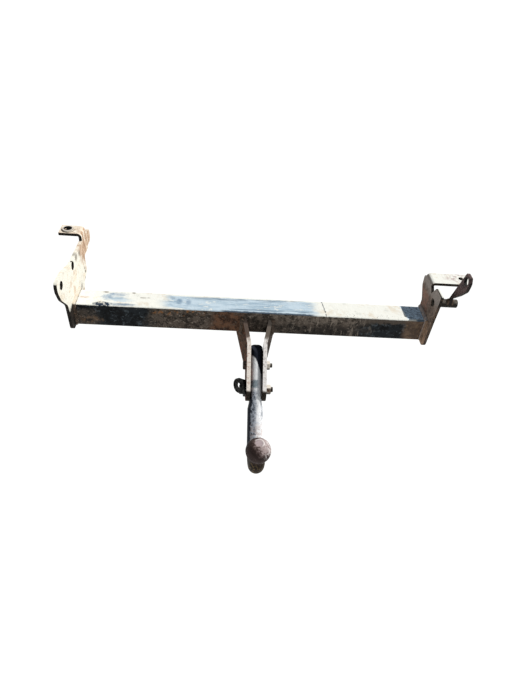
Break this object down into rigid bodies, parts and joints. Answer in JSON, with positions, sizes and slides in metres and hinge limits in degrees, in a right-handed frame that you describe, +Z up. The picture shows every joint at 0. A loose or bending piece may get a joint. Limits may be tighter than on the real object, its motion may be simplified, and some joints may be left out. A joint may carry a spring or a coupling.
{
  "type": "trailer hitch",
  "caption": "Fixed car towbar: a square crossbar with bolt-on end brackets, a swan neck with ball bolted between two cheek plates, and a safety eye.",
  "frame": {"origin": "centre of the tow ball", "axes": "+X along the crossbar towards the vehicle's right-hand bracket with the spacer tube, +Y forwards to the vehicle, -Y to the trailer, +Z up"},
  "size_m": [0.839, 0.417, 0.3906],
  "materials": {
    "bar_paint": "worn black paint with rust",
    "plate_paint": "black paint mostly gone to brown rust",
    "forged_steel": "bare forging, polished by use and mottled with rust",
    "fastener_steel": "zinc plating gone to rust",
    "weld_metal": "rusty weld"
  },
  "bodies": {
    "towbar": {"crossbar": "bar_paint", "left_side_plate": "plate_paint", "right_side_plate": "plate_paint", "left_cheek_plate": "plate_paint", "right_cheek_plate": "plate_paint", "swan_neck": "forged_steel", "upper_bolt": "fastener_steel", "upper_nut": "fastener_steel", "lower_bolt": "fastener_steel", "lower_nut": "fastener_steel", "left_flange_washer": "fastener_steel", "right_spacer_tube": "plate_paint", "right_lug": "plate_paint", "left_side_weld": "weld_metal", "right_side_weld": "weld_metal", "left_cheek_weld": "weld_metal", "right_cheek_weld": "weld_metal", "tube_weld": "weld_metal", "lug_weld": "weld_metal", "washer_weld": "weld_metal"},
    "eye": {"safety_eye": "fastener_steel"}
  },
  "joints": [
    {"name": "eye_turn", "type": "hinge", "parent": "towbar", "child": "eye", "pos_m": [-0.02864, 0.13256, 0.031], "axis": [0.9992, 0.0401, 0], "continuous": true}
  ]
}
